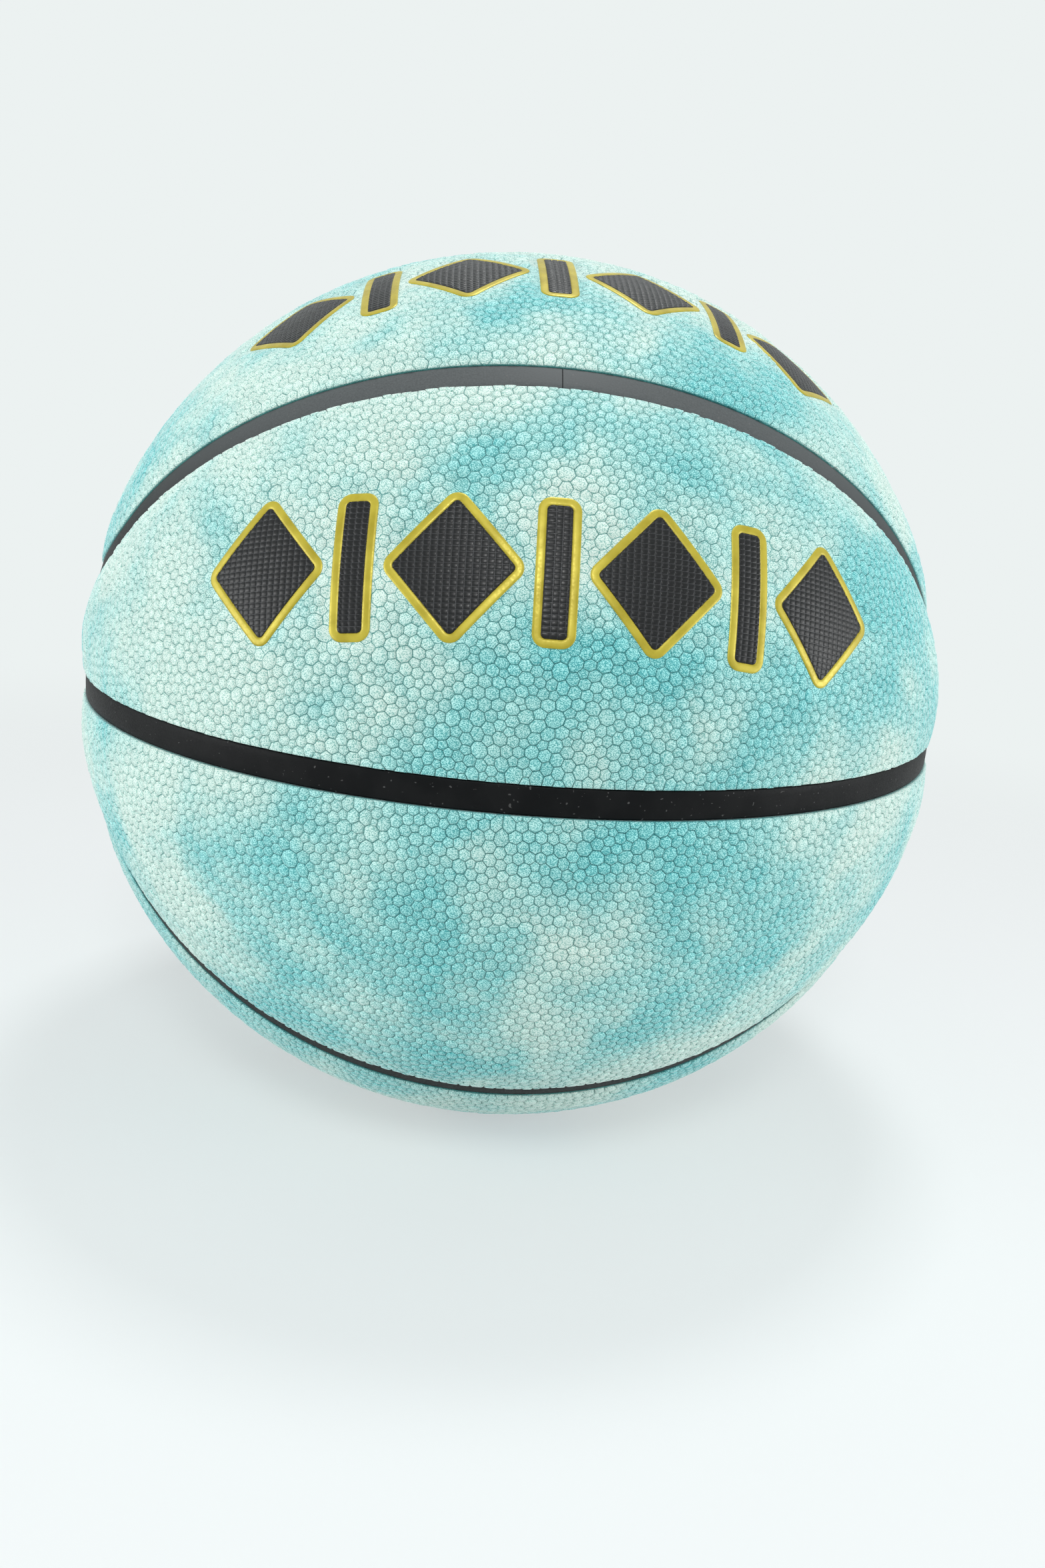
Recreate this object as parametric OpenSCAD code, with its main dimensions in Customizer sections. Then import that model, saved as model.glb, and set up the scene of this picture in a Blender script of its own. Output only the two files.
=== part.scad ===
// Basketball with eight cover panels, inlaid seam strips, a wound carcass and a needle valve.
// The origin is the centre of the ball and +Z points up. The equator seam lies in the XY plane,
// the cross seam in the XZ plane, and an oval seam runs round each pole, long in X.

/* [Ball] */
// Diameter over the crowns of the panels
ball_d = 242; // [230:1:250]

/* [Seams] */
// Height angle of the oval seam at the front and back of the ball
oval_front_el = 46.9; // [44:0.1:49]
// Height angle of the oval seam where it crosses the cross seam
oval_end_el = 12.2; // [11:0.1:15]
// Angle from the pole to the centre of the tight arc at each end of the oval
oval_end_tilt = 51; // [48:0.1:54]
// Width of the channel between two panels
channel_w = 7; // [6:0.1:9]
// Angle from the front of the ball to the butt joint of an oval strip
butt_az = 0; // [-30:1:30]
// Gap left where the end of a strip meets a strip
joint_gap = 0.2; // [0.15:0.05:0.4]

/* [Cover] */
// Thickness of a panel at its crown
cover_t = 3; // [2.6:0.1:4]
// How far the rolled edge of a panel drops below the crown
edge_drop = 1.3; // [0.8:0.1:1.5]
// Width of the rolled edge, measured from the wall of the channel
edge_roll_w = 14; // [8:0.5:16]
// How far the face of a strip lies below the edge of a panel
strip_recess = 0.5; // [0.3:0.1:0.9]

/* [Layers] */
// Wall of the moulded rubber carcass
carcass_t = 1.6; // [1:0.1:3]
// Thickness of the wound thread layer
winding_t = 0.8; // [0.5:0.1:2]
// Wall of the bladder
bladder_t = 0.9; // [0.6:0.1:2]

/* [Valve] */
// Diameter of the inflating needle
needle_d = 2; // [1.6:0.1:2.4]
// Depth of the needle hole in the plug
needle_depth = 10; // [6:0.5:12]
// How far the nose of the plug lies below the face of the strip
plug_tip_drop = 0.2; // [0.1:0.1:0.5]
// Diameter of the nose of the plug, which shows in the seam
plug_nose_d = 4.2; // [3.8:0.1:4.6]
// Diameter of the body of the plug
plug_body_d = 6.4; // [5.8:0.1:7]
// Diameter of the bulb that keeps the plug in its seat
plug_bulb_d = 8.4; // [7.6:0.1:9]
// Height of the bulb at the inner end of the plug
plug_bulb_h = 2.6; // [2:0.1:4]
// Outer diameter of the barrel and neck of the seat
seat_barrel_d = 11; // [10:0.1:13]
// Length of the barrel inside the bladder
seat_barrel_h = 11; // [9:0.5:14]
// Diameter of the flange that is bonded to the bladder
seat_flange_d = 30; // [24:1:40]
// Thickness of that flange
seat_flange_t = 1.8; // [1.2:0.1:3]
// Thickness of the lip of the seat that keeps the plug from being pushed out
seat_lip_t = 1.2; // [0.8:0.1:2]

/* [Fits] */
// Glue line between two curved layers
glue_gap = 0.15; // [0.1:0.01:0.3]
// Clearance between a strip and each wall of its channel
strip_fit = 0.1; // [0.05:0.01:0.2]
// Radial clearance of the valve parts in their holes
valve_fit = 0.1; // [0.05:0.01:0.2]
// Radial clearance of the needle in the plug
needle_fit = 0.1; // [0.05:0.01:0.2]

/* [Hidden] */

$fn = 144;

// Radii of the layers, from the crown inwards
ball_r = ball_d / 2;
cover_in_r = ball_r - cover_t;
strip_out_r = ball_r - edge_drop - strip_recess;
carcass_out_r = cover_in_r - glue_gap;
carcass_in_r = carcass_out_r - carcass_t;
winding_out_r = carcass_in_r - glue_gap;
winding_in_r = winding_out_r - winding_t;
bladder_out_r = winding_in_r - glue_gap;
bladder_in_r = bladder_out_r - bladder_t;
flange_out_r = bladder_in_r - glue_gap;
barrel_top_r = flange_out_r - seat_flange_t;
barrel_end_r = barrel_top_r - seat_barrel_h;
plug_tip_r = strip_out_r - plug_tip_drop;
plug_shoulder_r = carcass_out_r - seat_lip_t - valve_fit;
plug_bulb_r = barrel_end_r - valve_fit;

// Lengths along the surface as angles at the centre of the ball
deg_per_mm = 180 / (PI * ball_r);
channel_half = channel_w / 2 * deg_per_mm;
strip_half = (channel_w / 2 - strip_fit) * deg_per_mm;
joint_angle = joint_gap * deg_per_mm;
roll_angle = edge_roll_w * deg_per_mm;

// The oval is made of four arcs: a wide one at the front and back, a tight one at each end.
// They share a tangent where they meet, which fixes the tilt of the wide arcs.
end_arc_r = 90 - oval_end_el - oval_end_tilt;
arc_lead = 90 - oval_front_el - end_arc_r;
wide_tilt = atan((cos(arc_lead) - cos(oval_end_tilt)) / sin(arc_lead));
wide_arc_r = 90 - oval_front_el + wide_tilt;
wide_z = ball_r * cos(wide_arc_r);
wide_half_sweep = atan2(tan(oval_end_tilt), sin(wide_tilt));
end_half_sweep = atan2(tan(wide_tilt), sin(oval_end_tilt));

// Neighbouring arcs overlap by this angle, and the tight ones differ by this step all round
arc_lap = 0.2;
arc_step = 0.04;
step_angle = arc_step * deg_per_mm;
// The rolled edge of the wide arc ends inside the lap
roll_half_sweep = wide_half_sweep - arc_lap / 4;

// Cutting sections reach from this radius to that one, which clears the cover on both sides
cut_in_r = 0.8 * ball_r;
cut_out_r = 1.2 * ball_r;
// Angle from the centre of a tight arc that takes in the pointed tip of cover beyond it
TIP_REACH = 70;
// The rolled edge is cut by a curve of so many chords that ends a little above the crown
ROLL_CHORDS = 4;
ROLL_OVER = 0.1;

PANEL_COLOUR = [0.60, 0.85, 0.82];
STRIP_COLOUR = [0.13, 0.14, 0.15];
RUBBER_COLOUR = [0.20, 0.20, 0.21];
THREAD_COLOUR = [0.87, 0.85, 0.78];
BLADDER_COLOUR = [0.09, 0.09, 0.10];
VALVE_COLOUR = [0.16, 0.16, 0.17];

// Point of a section at radius s and angle a from the axis of revolution
function pol(s, a) = [s * sin(a), s * cos(a)];

// Distance from the axis at height z on a sphere of radius s
function chord(s, z) = sqrt(s * s - z * z);

// Rolled edge from the wall of the channel up past the crown; side is 1 or -1 in angle
function rolled_edge(a, side, drop) = [
    for (i = [0 : ROLL_CHORDS])
        let (u = i / ROLL_CHORDS)
        pol(ball_r - drop + (drop + ROLL_OVER) * (1 - pow(1 - u, 2)), a + side * roll_angle * u)
];

// Section of the cutter that rolls an edge at angle "a", with its back in the channel
module roll_section(a, side, drop) {
    back = a - side * channel_half;
    polygon(concat(
        [pol(ball_r - drop, back)], rolled_edge(a, side, drop),
        [pol(cut_out_r, a + side * roll_angle), pol(cut_out_r, back)]
    ));
}

// Section that clears the cover from angle "a" to angle "far", with a rolled edge at "a"
module clearing_section(a, far, drop) {
    side = far > a ? -1 : 1;
    polygon(concat(
        rolled_edge(a, side, drop),
        [pol(cut_out_r, a + side * roll_angle), pol(cut_out_r, far), pol(cut_in_r, far), pol(cut_in_r, a)]
    ));
}

// Section of a strip between two flat walls, centred at height z
module flat_strip_section(z) {
    half = channel_w / 2 - strip_fit;
    low = z - half;
    high = z + half;
    polygon([
        [chord(cover_in_r, low), low], [chord(strip_out_r, low), low],
        [chord(strip_out_r, high), high], [chord(cover_in_r, high), high]
    ]);
}

// Section of a strip between two walls that point at the centre of the ball, centred at angle "a"
module radial_strip_section(a) {
    half = strip_half - step_angle;
    in_r = cover_in_r + arc_step;
    out_r = strip_out_r - arc_step;
    polygon([pol(in_r, a - half), pol(out_r, a - half), pol(out_r, a + half), pol(in_r, a + half)]);
}

// Turns children about the axis of the wide front arc, over its own sweep
module wide_arc_sweep(from = -wide_half_sweep, to = wide_half_sweep) {
    on_wide_axis()
        rotate([0, 0, from - 90])
            rotate_extrude(angle = to - from)
                children();
}

// Turns children about the axis of the tight arc at the +X end, over its own sweep
module end_arc_sweep() {
    rotate([0, oval_end_tilt, 0])
        rotate([0, 0, -end_half_sweep - arc_lap])
            rotate_extrude(angle = 2 * (end_half_sweep + arc_lap))
                children();
}

module both_ends() {
    children();
    mirror([1, 0, 0]) children();
}

// Everything below the height z
module below(z) {
    translate([-cut_out_r, -cut_out_r, z - 2 * cut_out_r])
        cube(2 * cut_out_r);
}

// Turns the Z axis to the front of the ball
module facing_front() {
    rotate([90, 0, 0]) children();
}

// Turns the Z axis to that of the wide front arc
module on_wide_axis() {
    rotate([-wide_tilt, 0, 0]) children();
}

// Quarter of the cover at the top front, up to the channels of the cross seam and the given height
module cover_quarter(z) {
    difference() {
        difference() {
            difference() {
                sphere(r = ball_r);
                sphere(r = cover_in_r);
            }
            facing_front() below(channel_w / 2);
        }
        below(z);
    }
}

// Rolled edge along a wall that lies at height z on the Z axis
module flat_wall_roll(z, side, drop) {
    rotate_extrude()
        roll_section(acos(z / (ball_r - drop)), side, drop);
}

// Panel between an oval seam and the cross seam, at the top front
module polar_panel() {
    difference() {
        difference() {
            difference() {
                difference() {
                    cover_quarter(ball_r * sin(oval_end_el) / 2);
                    on_wide_axis() below(wide_z + channel_w / 2);
                }
                both_ends() end_arc_sweep()
                    clearing_section(end_arc_r - channel_half - step_angle, TIP_REACH, edge_drop + arc_step);
            }
            on_wide_axis() flat_wall_roll(wide_z + channel_w / 2, -1, edge_drop);
        }
        facing_front() flat_wall_roll(channel_w / 2, -1, edge_drop);
    }
}

// Long panel between an oval seam and the equator, at the upper front
module side_panel() {
    difference() {
        difference() {
            difference() {
                difference() {
                    difference() {
                        cover_quarter(channel_w / 2);
                        on_wide_axis() translate([0, 0, wide_z - channel_w / 2])
                            linear_extrude(2 * cut_out_r)
                                wide_sector();
                    }
                    both_ends() end_arc_sweep()
                        clearing_section(end_arc_r + channel_half + step_angle, 0, edge_drop + arc_step);
                }
                wide_arc_sweep(-roll_half_sweep, roll_half_sweep)
                    roll_section(acos((wide_z - channel_w / 2) / (ball_r - edge_drop)), 1, edge_drop);
            }
            facing_front() flat_wall_roll(channel_w / 2, -1, edge_drop);
        }
        flat_wall_roll(channel_w / 2, -1, edge_drop);
    }
}

// Sector of the wide front arc, seen along its axis
module wide_sector() {
    reach = 2 * cut_out_r;
    polygon([
        [0, 0],
        reach * [-sin(wide_half_sweep), -cos(wide_half_sweep)],
        reach * [0, -1],
        reach * [sin(wide_half_sweep), -cos(wide_half_sweep)]
    ]);
}

// Strip of an oval seam round the top pole, open at its butt joint
module oval_strip() {
    half_gap = joint_gap / 2 * deg_per_mm;
    union() {
        wide_arc_sweep(-wide_half_sweep, butt_az - half_gap) flat_strip_section(wide_z);
        wide_arc_sweep(butt_az + half_gap, wide_half_sweep) flat_strip_section(wide_z);
        mirror([0, 1, 0]) wide_arc_sweep() flat_strip_section(wide_z);
        both_ends() end_arc_sweep() radial_strip_section(end_arc_r);
    }
}

// Length of the cross seam's strip between two height angles on the +X side
module cross_span(from_el, to_el) {
    facing_front()
        rotate([0, 0, from_el])
            rotate_extrude(angle = to_el - from_el)
                flat_strip_section(0);
}

// Strip of the cross seam over the top pole, from one end of the oval to the other
module polar_span() {
    end_el = oval_end_el + channel_half + joint_angle;
    cross_span(end_el, 180 - end_el);
}

// Short strip of the cross seam between the equator and the oval, on the +X side
module link_span() {
    low_el = asin((channel_w / 2 - strip_fit + joint_gap) / cover_in_r);
    cross_span(low_el, oval_end_el - channel_half - joint_angle);
}

// Round bar along the valve axis, from the bottom of the ball inwards
module valve_bar(d, out_r, in_r) {
    translate([0, 0, -out_r]) cylinder(h = out_r - in_r, d = d);
}

// Hollow layer of the ball with the hole for the valve neck
module layer(out_r, in_r) {
    difference() {
        difference() {
            sphere(r = out_r);
            sphere(r = in_r);
        }
        valve_bar(seat_barrel_d + 2 * valve_fit, cut_out_r, cut_in_r);
    }
}

module bladder() {
    color(BLADDER_COLOUR) layer(bladder_out_r, bladder_in_r);
}

module thread_winding() {
    color(THREAD_COLOUR) layer(winding_out_r, winding_in_r);
}

module carcass() {
    color(RUBBER_COLOUR) layer(carcass_out_r, carcass_in_r);
}

// Rubber seat: a flange inside the bladder, a neck out to the cover and a barrel for the plug
module valve_seat() {
    color(VALVE_COLOUR) difference() {
        union() {
            intersection() {
                difference() {
                    sphere(r = flange_out_r);
                    sphere(r = barrel_top_r);
                }
                valve_bar(seat_flange_d, cut_out_r, cut_in_r);
            }
            intersection() {
                sphere(r = carcass_out_r);
                valve_bar(seat_barrel_d, cut_out_r, barrel_end_r);
            }
        }
        valve_bar(plug_nose_d + 2 * valve_fit, cut_out_r, cut_in_r);
        valve_bar(plug_body_d + 2 * valve_fit, carcass_out_r - seat_lip_t, cut_in_r);
    }
}

// Rubber plug with a blind hole for the needle, held by its shoulder and its bulb
module valve_plug() {
    color(VALVE_COLOUR) difference() {
        union() {
            valve_bar(plug_nose_d, plug_tip_r, plug_bulb_r);
            valve_bar(plug_body_d, plug_shoulder_r, plug_bulb_r);
            valve_bar(plug_bulb_d, plug_bulb_r, plug_bulb_r - plug_bulb_h);
        }
        valve_bar(needle_d + 2 * needle_fit, cut_out_r, plug_tip_r - needle_depth);
    }
}

module top_panel_front() {
    color(PANEL_COLOUR) polar_panel();
}

module top_panel_back() {
    mirror([0, 1, 0]) top_panel_front();
}

module bottom_panel_front() {
    mirror([0, 0, 1]) top_panel_front();
}

module bottom_panel_back() {
    mirror([0, 0, 1]) top_panel_back();
}

module side_panel_upper_front() {
    color(PANEL_COLOUR) side_panel();
}

module side_panel_upper_back() {
    mirror([0, 1, 0]) side_panel_upper_front();
}

module side_panel_lower_front() {
    mirror([0, 0, 1]) side_panel_upper_front();
}

module side_panel_lower_back() {
    mirror([0, 0, 1]) side_panel_upper_back();
}

module equator_strip() {
    color(STRIP_COLOUR) rotate_extrude() flat_strip_section(0);
}

module top_oval_strip() {
    color(STRIP_COLOUR) oval_strip();
}

module bottom_oval_strip() {
    color(STRIP_COLOUR) rotate([180, 0, 0]) oval_strip();
}

module top_cross_strip() {
    color(STRIP_COLOUR) polar_span();
}

// The lower strip has the hole that the nose of the plug shows in
module bottom_cross_strip() {
    color(STRIP_COLOUR) difference() {
        mirror([0, 0, 1]) polar_span();
        valve_bar(plug_nose_d + 2 * valve_fit, cut_out_r, cut_in_r);
    }
}

module link_strip_upper_right() {
    color(STRIP_COLOUR) link_span();
}

module link_strip_upper_left() {
    mirror([1, 0, 0]) link_strip_upper_right();
}

module link_strip_lower_right() {
    mirror([0, 0, 1]) link_strip_upper_right();
}

module link_strip_lower_left() {
    mirror([0, 0, 1]) link_strip_upper_left();
}

bladder();
thread_winding();
carcass();
valve_seat();
valve_plug();
top_panel_front();
top_panel_back();
bottom_panel_front();
bottom_panel_back();
side_panel_upper_front();
side_panel_upper_back();
side_panel_lower_front();
side_panel_lower_back();
equator_strip();
top_oval_strip();
bottom_oval_strip();
top_cross_strip();
bottom_cross_strip();
link_strip_upper_right();
link_strip_upper_left();
link_strip_lower_right();
link_strip_lower_left();
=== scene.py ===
"""Basketball: pebbled cover panels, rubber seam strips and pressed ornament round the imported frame."""

import math

import bmesh
import bpy
import numpy as np
from mathutils import Matrix, Vector
from mathutils.geometry import delaunay_2d_cdt


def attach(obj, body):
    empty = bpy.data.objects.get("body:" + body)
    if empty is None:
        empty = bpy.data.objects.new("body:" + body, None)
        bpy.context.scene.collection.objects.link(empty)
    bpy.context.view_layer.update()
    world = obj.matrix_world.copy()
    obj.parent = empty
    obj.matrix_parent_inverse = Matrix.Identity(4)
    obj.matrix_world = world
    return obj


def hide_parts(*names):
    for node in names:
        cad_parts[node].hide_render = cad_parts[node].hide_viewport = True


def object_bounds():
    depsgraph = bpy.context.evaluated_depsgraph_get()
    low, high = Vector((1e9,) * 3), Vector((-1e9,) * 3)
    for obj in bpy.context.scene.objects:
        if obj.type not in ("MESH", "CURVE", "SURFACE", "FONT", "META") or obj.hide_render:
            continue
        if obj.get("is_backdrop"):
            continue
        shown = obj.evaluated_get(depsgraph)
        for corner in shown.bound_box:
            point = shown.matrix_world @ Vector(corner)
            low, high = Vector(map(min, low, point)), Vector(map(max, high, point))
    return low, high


MM = 0.001
X_WAY = np.array([1.0, 0, 0])
Y_WAY = np.array([0, 1.0, 0])
Z_WAY = np.array([0, 0, 1.0])

# Sizes of the ball, as in the part's source
BALL_R = 121 * MM
COVER_IN_R = 118 * MM
COVER_T = BALL_R - COVER_IN_R
CHANNEL_HALF = 3.5 * MM
STRIP_HALF = 3.4 * MM
JOINT_GAP = 0.2 * MM
EDGE_DROP = 1.3 * MM
EDGE_ROLL = 14 * MM
VALVE_HOLE_R = 2.2 * MM
OVAL_FRONT_EL = math.radians(46.9)
OVAL_END_EL = math.radians(12.2)
OVAL_END_TILT = math.radians(51)

# The oval seam's four arcs: a wide one at the front and back, a tight one at each end
END_ARC = math.pi / 2 - OVAL_END_EL - OVAL_END_TILT
ARC_LEAD = math.pi / 2 - OVAL_FRONT_EL - END_ARC
WIDE_TILT = math.atan((math.cos(ARC_LEAD) - math.cos(OVAL_END_TILT)) / math.sin(ARC_LEAD))
WIDE_ARC = math.pi / 2 - OVAL_FRONT_EL + WIDE_TILT
WIDE_SWEEP = math.atan2(math.tan(OVAL_END_TILT), math.sin(WIDE_TILT))
END_SWEEP = math.atan2(math.tan(WIDE_TILT), math.sin(OVAL_END_TILT))
WIDE_AXIS = np.array([0, math.sin(WIDE_TILT), math.cos(WIDE_TILT)])
END_AXIS = np.array([math.sin(OVAL_END_TILT), 0, math.cos(OVAL_END_TILT)])
ARCS_MEET = np.cross(WIDE_AXIS, END_AXIS)

# Panels: whether each lies inside an oval seam, on the upper half and on the front half
PANELS = {
    "top_panel_front": (True, True, True),
    "top_panel_back": (True, True, False),
    "bottom_panel_front": (True, False, True),
    "bottom_panel_back": (True, False, False),
    "side_panel_upper_front": (False, True, True),
    "side_panel_upper_back": (False, True, False),
    "side_panel_lower_front": (False, False, True),
    "side_panel_lower_back": (False, False, False),
}

# Pebble grain of the cover: how the pebbles are spread out, and the form of each one
GRAIN_SEED = 7
BLANK_SUBDIVISIONS = 5
PEBBLE_GAP = 1.88 * MM
PEBBLE_EVEN_GAP = 2.32 * MM
PEBBLE_CROWDING = 6.0
PUSH_STEPS = 40
PUSH_SHARE = 0.5
EVEN_STEPS = 4
PEBBLE_RELIEF = 0.6 * MM
PEBBLE_SPREAD = 0.3
PEBBLE_SHOULDER = 0.68
PEBBLE_SHOULDER_INSET = 0.9
PEBBLE_CROWN_INSET = 0.7

# Cutting the grain to a panel
SEED_MARGIN = 7 * MM
RIM_OVERHANG = 0.15 * PEBBLE_EVEN_GAP
RIM_WIDTH = 1.6 * PEBBLE_EVEN_GAP
RIM_EVEN_STEPS = 3
CORNER_HALVINGS = 40
SLIDE_STEPS = 4
SLOPE_REACH = 0.05 * MM
LEAST_STEEP = 0.2
SKEW_WAY = np.array([0.31, 0.52, 0.79])
WELD_GAP = 0.002 * MM
FLAT_SCALE = 100.0
FLAT_WELD = 1e-6

# Stamped bands: the panel each is on, and the height angle of its middle at the front of the ball
STAMPS = {
    "front_stamp": ("side_panel_upper_front", math.radians(23.3)),
    "top_stamp": ("top_panel_front", math.radians(69.6)),
}
LOZENGE = np.array([(-12, 0), (0, -13.5), (12, 0), (0, 13.5)]) * MM
BAR = np.array([(-1.7, -13.5), (1.7, -13.5), (1.7, 13.5), (-1.7, 13.5)]) * MM
LOZENGES = 4
LOZENGE_PITCH = 44 * MM
BORDER_OUT = 3.0 * MM
BORDER_IN = 1.1 * MM
CORNER_STEPS = 9
SIDE_STEPS = 10
STAMP_DEPTH = 0.12 * MM
PRESS_MARGIN = 1.2 * MM
PRESS_REACH = 1.2 * MM
PRESS_SHARE = 0.98

# Section of a stamp's border: share of its width from the outside, and height above the pressed leather
BORDER_SECTION = [
    (0.0, -0.5 * MM), (0.0, 0.1 * MM), (0.1, 0.22 * MM), (0.3, 0.27 * MM),
    (0.7, 0.27 * MM), (0.9, 0.22 * MM), (1.0, 0.1 * MM), (1.0, -0.5 * MM),
]

# Waffled inlay of a stamp
LATTICE = (1.55 * MM, 1.25 * MM)
LATTICE_SNAP = 0.02 * MM
WAFFLE_T = 0.5 * MM
WAFFLE_LIFT = 0.08 * MM
WAFFLE_RELIEF = 0.17 * MM
WAFFLE_SPREAD = 0.2
WAFFLE_SHOULDER = 0.8
WAFFLE_SHOULDER_INSET = 0.82
WAFFLE_CROWN_INSET = 0.86

# Seam strips; half a section from the middle line to the edge: distance across and height above the carcass
STRIP_HALF_SECTION = np.array([
    (0, 1.22 * MM), (1.6 * MM, 1.2 * MM), (2.9 * MM, 1.16 * MM), (3.25 * MM, 1.05 * MM),
    (STRIP_HALF, 0.8 * MM), (STRIP_HALF, 0.05 * MM),
])
STRIP_STEP = 1.5 * MM
LEAST_STEPS = 8
SHARP_ANGLE = math.radians(50)
DRILL_SIDES = 48
DRILL_DEPTH = 8 * MM

# Dyed leather
CREAM = (0.70, 0.86, 0.79, 1)
CREAM_DOT = (0.23, 0.48, 0.43, 1)
TEAL = (0.34, 0.80, 0.79, 1)
TEAL_DOT = (0.045, 0.36, 0.38, 1)
# Painted shade: the tint below darkens the grooves between the pebbles and their low shoulders
GROOVE_SHADE_TINT = (0.13, 0.38, 0.39, 1)
DYE_SHIFT = (2.45, -2.87, 0.98)
DYE_SCALE = 26.0
DRIFT_SCALE = 18.0
DRIFT_REACH = 30 * MM
STIPPLE_SCALE = 4200.0

# Foil, inlay, rubber and thread
GOLD_DEEP = (0.37, 0.30, 0.012, 1)
GOLD_PALE = (0.50, 0.42, 0.035, 1)
# Painted highlight: the greyer colour of the lines between the waffle's oblongs stands in for the gloss on
# their bevels
WAFFLE_LINE_HIGHLIGHT = (0.035, 0.037, 0.040, 1)
WAFFLE_TOP = (0.003, 0.0035, 0.004, 1)
STRIP_BLACK = (0.003, 0.0035, 0.004, 1)
STRIP_GREY = (0.006, 0.0065, 0.007, 1)
# Dust and painted reflection: the rubber greys towards the top of the ball, standing in for the overhead
# light's reflection as well as dust
DUST_AND_REFLECTION_GREY = (0.105, 0.117, 0.120, 1)
DUST_AND_REFLECTION_FROM = 30 * MM
DUST_AND_REFLECTION_FULL = 85 * MM
SPECK_GREY = (0.16, 0.16, 0.16, 1)
CARCASS_BLACK = (0.012, 0.012, 0.012, 1)
CARCASS_GREY = (0.022, 0.022, 0.022, 1)
BUTYL_BLACK = (0.008, 0.008, 0.009, 1)
BUTYL_GREY = (0.014, 0.014, 0.015, 1)
VALVE_BLACK = (0.014, 0.014, 0.014, 1)
VALVE_GREY = (0.024, 0.024, 0.024, 1)
THREAD_DEEP = (0.55, 0.52, 0.44, 1)
THREAD_PALE = (0.74, 0.71, 0.62, 1)

# Camera of the photograph
CAMERA_PLACE = Vector((-27.83, -395.96, 76.35)) * MM
CAMERA_AZ = math.radians(4.905)
CAMERA_EL = math.radians(14.674)
CAMERA_ROLL = math.radians(5.131)
CAMERA_LENS = 31.395
CAMERA_SENSOR = 36
CAMERA_NEAR = 10 * MM

# Studio; each soft box has a place and a width in metres and a power in watts
SOFT_BOXES = {
    "top_box": ((0.08, 0.1, 0.9), 0.2, 3.3),
    "front_box": ((-0.05, -0.86, 0.66), 0.22, 3.6),
    "left_box": ((-0.75, -0.25, 0.1), 0.36, 2.6),
    "right_box": ((0.75, -0.25, 0.1), 0.36, 2.5),
}
SOFT_LIGHT = 0.42
PALE_BACKDROP = (0.84, 0.885, 0.88, 1)
PALE_FLOOR = (0.90, 0.93, 0.94, 1)
FLOOR_COLOUR = (0.80, 0.84, 0.84, 1)
FLOOR_LIFT = 0.5
FLOOR_R = 1.2
FLOOR_SIDES = 96
FADE_FROM = 0.25
FADE_FULL = 0.7


# Small helpers


def add(tree, kind, inputs=None, **settings):
    """Adds a node and fills its inputs with values or with the outputs of other nodes."""
    node = tree.nodes.new(kind)
    for key, value in settings.items():
        setattr(node, key, value)
    for key, value in (inputs or {}).items():
        if isinstance(value, bpy.types.NodeSocket):
            tree.links.new(value, node.inputs[key])
        else:
            node.inputs[key].default_value = value
    return node


def math_node(tree, operation, *values):
    """One step of arithmetic; returns its result."""
    return add(tree, "ShaderNodeMath", dict(enumerate(values)), operation=operation).outputs[0]


def vector_node(tree, operation, inputs):
    """One step of arithmetic on vectors; returns its vector."""
    return add(tree, "ShaderNodeVectorMath", inputs, operation=operation).outputs["Vector"]


def length_of(tree, vector):
    """The length of a vector."""
    return add(tree, "ShaderNodeVectorMath", {0: vector}, operation="LENGTH").outputs["Value"]


def link_object(name, data):
    """Puts a new object into the scene, at the origin."""
    piece = bpy.data.objects.new(name, data)
    bpy.context.scene.collection.objects.link(piece)
    return piece


def mesh_piece(name, verts, faces):
    """New object from points and faces."""
    mesh = bpy.data.meshes.new(name)
    mesh.from_pydata(np.asarray(verts).tolist(), [], [list(map(int, face)) for face in faces])
    mesh.update()
    return link_object(name, mesh)


def points_of(mesh):
    """The mesh's points as an array."""
    flat = np.zeros(len(mesh.vertices) * 3)
    mesh.vertices.foreach_get("co", flat)
    return flat.reshape(-1, 3)


def unit(vectors):
    """Vectors brought to length one."""
    return vectors / np.linalg.norm(vectors, axis=-1, keepdims=True)


def smooth_step(x):
    """Eases from 0 to 1."""
    x = np.clip(x, 0, 1)
    return x * x * (3 - 2 * x)


def tube_faces(length, width, closed):
    """Faces between the neighbouring points of neighbouring sections, with end caps on an open tube."""
    faces = []
    for i in range(length if closed else length - 1):
        ahead = (i + 1) % length
        for j in range(width):
            beside = (j + 1) % width
            faces.append((i * width + j, i * width + beside, ahead * width + beside, ahead * width + j))
    if not closed:
        faces.append(range(width))
        faces.append(range((length - 1) * width, length * width))
    return faces


def turn_outwards(mesh):
    """Points every face of a closed mesh outwards and shades it smooth, but for its sharp edges."""
    work = bmesh.new()
    work.from_mesh(mesh)
    bmesh.ops.recalc_face_normals(work, faces=work.faces[:])
    work.to_mesh(mesh)
    work.free()
    mesh.shade_smooth()
    mesh.set_sharp_from_angle(angle=SHARP_ANGLE)


# Seams


def seam_distances(points):
    """Distances from the middle lines of the equator, cross and oval seams.

    The last one is negative inside an oval.
    """
    folded = np.abs(unit(points)) * [1, -1, 1]
    equator = np.arcsin(np.clip(folded[:, 2], -1, 1)) * BALL_R
    cross = np.arcsin(np.clip(-folded[:, 1], -1, 1)) * BALL_R
    wide = np.arccos(np.clip(folded @ WIDE_AXIS, -1, 1)) - WIDE_ARC
    tight = np.arccos(np.clip(folded @ END_AXIS, -1, 1)) - END_ARC
    oval = np.where(folded @ ARCS_MEET > 0, tight, wide) * BALL_R
    return equator, cross, oval


def wall_distance(points):
    """Distance of points from the nearest channel wall, positive on the panels."""
    equator, cross, oval = seam_distances(points)
    return np.minimum(np.minimum(equator, cross), np.abs(oval)) - CHANNEL_HALF


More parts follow.
